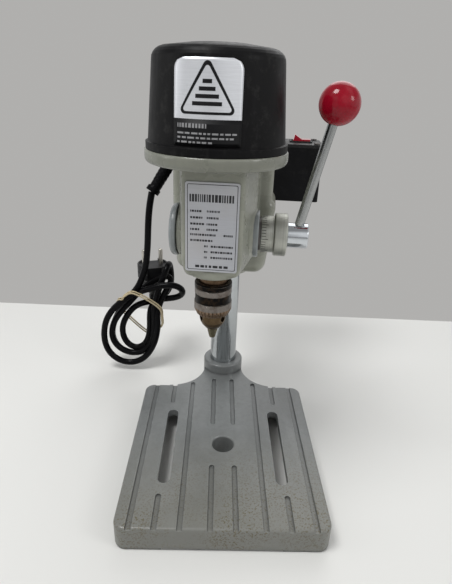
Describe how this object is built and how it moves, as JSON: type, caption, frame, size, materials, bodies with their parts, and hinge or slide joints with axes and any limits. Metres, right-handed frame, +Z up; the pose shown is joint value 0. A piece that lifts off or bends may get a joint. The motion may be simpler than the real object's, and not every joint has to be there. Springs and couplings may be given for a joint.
{
  "type": "bench drill press",
  "caption": "Small bench drill press: slotted cast table, steel column, swivelling head with geared feed lever, keyed chuck, covered motor, switch box and tied mains cord.",
  "frame": {"origin": "on the axis of the table's centre hole, at the level of the desk that the feet stand on", "axes": "+Z up, +Y from the operator towards the column, +X to the operator's right"},
  "size_m": [0.2366, 0.2933, 0.335],
  "materials": {
    "base_paint": "satin",
    "head_paint": "satin",
    "column_steel": "polished",
    "plain_steel": "satin",
    "dark_steel": "satin",
    "browned_steel": "satin",
    "hub_chrome": "polished",
    "cast_zinc": "satin",
    "cover_plastic": "matte",
    "box_plastic": "matte",
    "lid_plastic": "matte",
    "red_gloss": "gloss",
    "black_gloss": "gloss",
    "label_metal": "satin",
    "sticker": "satin",
    "cord_rubber": "satin",
    "band_rubber": "matte",
    "plug_plastic": "matte",
    "brass": "satin",
    "copper_winding": "satin",
    "laminations": "satin",
    "fan_plastic": "matte",
    "board": "matte",
    "carbon": "matte",
    "bronze_bush": "satin"
  },
  "bodies": {
    "stand": {"base_casting": "base_paint", "socket_screw": "dark_steel"},
    "column": {"column": "column_steel"},
    "head": {"head_casting": "head_paint", "clamp_screw": "plain_steel", "shaft_bush": "bronze_bush", "spring_cap": "base_paint", "return_spring": "plain_steel", "motor_cover": "cover_plastic", "cover_screws": "plain_steel", "stator_core": "laminations", "field_coils": "copper_winding", "motor_bracket": "cast_zinc", "bracket_screws": "plain_steel", "motor_bearing_top": "plain_steel", "motor_bearing_low": "plain_steel", "brush_holders": "brass", "carbon_brushes": "carbon", "nameplate": "label_metal", "cover_label": "sticker", "switch_box": "box_plastic", "switch_box_lid": "lid_plastic", "lid_screws": "dark_steel", "box_screws": "plain_steel", "control_board": "board", "cord_boot": "cord_rubber", "power_cord": "cord_rubber", "cord_hank": "cord_rubber", "cord_tail": "cord_rubber", "cord_band": "band_rubber", "plug_body": "plug_plastic", "plug_pins": "brass"},
    "clamp_lever": {"clamp_handle": "black_gloss"},
    "rotor": {"motor_shaft": "plain_steel", "armature": "laminations", "commutator": "copper_winding", "cooling_fan": "fan_plastic"},
    "quill": {"quill": "plain_steel", "quill_bearing_low": "plain_steel", "quill_bearing_top": "plain_steel", "quill_nut": "dark_steel"},
    "spindle": {"spindle": "browned_steel", "chuck_body": "browned_steel"},
    "chuck_ring": {"chuck_sleeve": "browned_steel", "jaw_nut": "dark_steel"},
    "jaw_1": {"jaw_1": "browned_steel"},
    "jaw_2": {"jaw_2": "browned_steel"},
    "jaw_3": {"jaw_3": "browned_steel"},
    "feed_shaft": {"pinion_shaft": "plain_steel", "feed_collar": "cast_zinc", "feed_hub": "hub_chrome", "lever_rod": "hub_chrome", "lever_ball": "red_gloss"},
    "depth_ring": {"depth_ring": "cast_zinc"},
    "power_rocker": {"power_rocker": "red_gloss"},
    "speed_rocker": {"speed_rocker": "black_gloss"}
  },
  "joints": [
    {"name": "head_swivel", "type": "hinge", "parent": "stand", "child": "column", "pos_m": [0, 0.127, 0.03], "axis": [0, 0, 1], "range_deg": [-30, 30]},
    {"name": "head_height", "type": "slide", "parent": "column", "child": "head", "axis": [0, 0, 1], "range_m": [0, 0.05]},
    {"name": "clamp_turn", "type": "hinge", "parent": "head", "child": "clamp_lever", "pos_m": [0.01891, 0.15737, 0.172], "axis": [0.9956, -0.0932, 0], "range_deg": [0, 90]},
    {"name": "feed_turn", "type": "hinge", "parent": "head", "child": "feed_shaft", "pos_m": [-0.00984, 0.02196, 0.21], "axis": [0.9956, -0.0932, 0], "range_deg": [0, 159.15], "stiffness_Nm_per_rad": 0.12, "springref_deg": -85.94},
    {"name": "quill_slide", "type": "slide", "parent": "head", "child": "quill", "axis": [0, 0, -1], "range_m": [0, 0.025]},
    {"name": "rotor_spin", "type": "hinge", "parent": "head", "child": "rotor", "pos_m": [-0.01184, 0.00055, 0.29], "axis": [0, 0, 1], "continuous": true},
    {"name": "spindle_spin", "type": "hinge", "parent": "quill", "child": "spindle", "pos_m": [-0.01184, 0.00055, 0.19], "axis": [0, 0, 1], "continuous": true},
    {"name": "chuck_sleeve_turn", "type": "hinge", "parent": "spindle", "child": "chuck_ring", "pos_m": [-0.01184, 0.00055, 0.163], "axis": [0, 0, 1], "range_deg": [0, 720]},
    {"name": "depth_ring_turn", "type": "hinge", "parent": "feed_shaft", "child": "depth_ring", "pos_m": [0.028, 0.01842, 0.21], "axis": [0.9956, -0.0932, 0], "range_deg": [-180, 180]},
    {"name": "power_switch", "type": "hinge", "parent": "head", "child": "power_rocker", "pos_m": [0.07139, 0.17073, 0.2605], "axis": [0.0932, 0.9956, 0], "range_deg": [-32, 0]},
    {"name": "speed_switch", "type": "hinge", "parent": "head", "child": "speed_rocker", "pos_m": [0.04451, 0.17325, 0.2605], "axis": [0.0932, 0.9956, 0], "range_deg": [-12, 12]},
    {"name": "jaw_1_slide", "type": "slide", "parent": "spindle", "child": "jaw_1", "axis": [-0.0241, -0.2577, 0.9659], "range_m": [0, 0.008]},
    {"name": "jaw_2_slide", "type": "slide", "parent": "spindle", "child": "jaw_2", "axis": [0.2352, 0.1079, 0.9659], "range_m": [0, 0.008]},
    {"name": "jaw_3_slide", "type": "slide", "parent": "spindle", "child": "jaw_3", "axis": [-0.2111, 0.1497, 0.9659], "range_m": [0, 0.008]}
  ],
  "couplings": [
    {"joint": "quill_slide", "follows": "feed_turn", "m_per_rad": 0.009},
    {"joint": "spindle_spin", "follows": "rotor_spin", "ratio": 1},
    {"joint": "jaw_1_slide", "follows": "chuck_sleeve_turn", "m_per_rad": 0.00063662},
    {"joint": "jaw_2_slide", "follows": "chuck_sleeve_turn", "m_per_rad": 0.00063662},
    {"joint": "jaw_3_slide", "follows": "chuck_sleeve_turn", "m_per_rad": 0.00063662}
  ]
}
